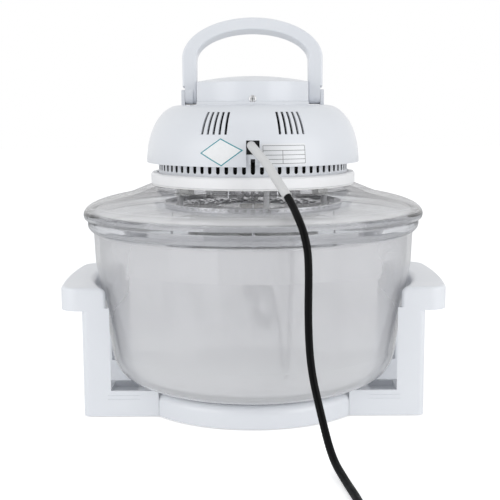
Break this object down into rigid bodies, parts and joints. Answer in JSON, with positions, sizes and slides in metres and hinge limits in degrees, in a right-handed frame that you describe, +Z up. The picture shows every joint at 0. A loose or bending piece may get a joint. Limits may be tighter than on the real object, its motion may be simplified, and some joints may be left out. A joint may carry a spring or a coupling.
{
  "type": "halogen oven",
  "caption": "Countertop halogen oven: round glass bowl on a white stand with side handles, domed glass lid that lifts off and carries the heating head, fan, controls and folding handle",
  "frame": {"origin": "on the surface that the rubber feet rest on, under the middle of the glass bowl", "axes": "+Z up; +Y to the rear, where the power cord leaves; the control panel faces -Y; the side handles stand at +X and -X"},
  "size_m": [0.393, 0.613, 0.3987],
  "materials": {
    "white_plastic": "smooth moulded, slightly cool white",
    "grey_plastic": "matt, dark",
    "black_rubber": "matt",
    "grey_rubber": "matt, light grey",
    "clear_rubber": "matt, pale",
    "glass": "clear, polished",
    "quartz": "clear quartz tube",
    "lens": "tinted lens",
    "aluminium": "hammered floor, polished rim",
    "steel": "plain",
    "dark_steel": "phosphated, matt",
    "winding_tape": "cloth tape round the copper winding",
    "chromed": "polished",
    "zinc": "zinc plated",
    "bronze": "sintered bronze",
    "ceramic": "unglazed",
    "nickel": "nickel plated"
  },
  "bodies": {
    "stand": {"base_tray": "white_plastic", "side_handle_left": "white_plastic", "side_handle_right": "white_plastic", "frame_screws": "zinc", "rubber_feet": "black_rubber", "bowl_pads": "clear_rubber"},
    "bowl": {"glass_bowl": "glass"},
    "lid": {"glass_lid": "glass", "lid_gasket": "clear_rubber", "lid_clips": "zinc", "heat_shield": "dark_steel", "head_flange": "white_plastic", "flange_screws": "zinc", "vent_neck": "white_plastic", "upper_housing": "white_plastic", "top_cap": "white_plastic", "cap_screws": "zinc", "pivot_pins": "steel", "safety_switch": "grey_plastic", "control_panel": "white_plastic", "indicator_lamps": "lens", "timer_unit": "grey_plastic", "thermostat_unit": "grey_plastic", "motor_bracket": "dark_steel", "lower_bush": "bronze", "upper_bush": "bronze", "motor_stator": "dark_steel", "motor_bolts": "zinc", "motor_coil": "winding_tape", "reflector_posts": "zinc", "reflector_pan": "aluminium", "halogen_tube": "quartz", "lamp_holders": "ceramic", "guard_grille": "chromed", "terminal_block": "grey_plastic", "thermal_cutout": "steel", "cord_clamp": "grey_plastic", "cord_sleeve": "grey_rubber", "power_cord": "black_rubber", "cord_coil": "black_rubber", "plug_body": "black_rubber", "plug_pins": "nickel"},
    "carry_handle": {"carry_handle": "white_plastic"},
    "fan_rotor": {"rotor_shaft": "steel", "rotor_core": "aluminium", "cooling_fan": "grey_plastic", "convection_fan": "aluminium", "fan_nut": "zinc"},
    "timer_knob": {"timer_knob": "white_plastic", "timer_spindle": "steel"},
    "thermostat_knob": {"thermostat_knob": "white_plastic", "thermostat_spindle": "steel"},
    "switch_plunger": {"switch_plunger": "grey_plastic"}
  },
  "joints": [
    {"name": "bowl_lift", "type": "slide", "parent": "stand", "child": "bowl", "axis": [0, 0, 1], "range_m": [0, 0.2]},
    {"name": "lid_lift", "type": "slide", "parent": "bowl", "child": "lid", "axis": [0, 0, 1], "range_m": [0, 0.25]},
    {"name": "handle_fold", "type": "hinge", "parent": "lid", "child": "carry_handle", "pos_m": [0, 0, 0.3203], "axis": [-1, 0, 0], "range_deg": [0, 86]},
    {"name": "switch_press", "type": "slide", "parent": "lid", "child": "switch_plunger", "axis": [0, 0, -1], "range_m": [0, 0.0026]},
    {"name": "fan_spin", "type": "hinge", "parent": "lid", "child": "fan_rotor", "pos_m": [0, 0, 0.262], "axis": [0, 0, 1], "continuous": true},
    {"name": "timer_turn", "type": "hinge", "parent": "lid", "child": "timer_knob", "pos_m": [-0.031, -0.116, 0.277], "axis": [0, 1, 0], "range_deg": [0, 300]},
    {"name": "thermostat_turn", "type": "hinge", "parent": "lid", "child": "thermostat_knob", "pos_m": [0.031, -0.116, 0.277], "axis": [0, 1, 0], "range_deg": [0, 270]}
  ],
  "couplings": [
    {"joint": "switch_press", "follows": "handle_fold", "m_per_rad": 0.0017}
  ]
}
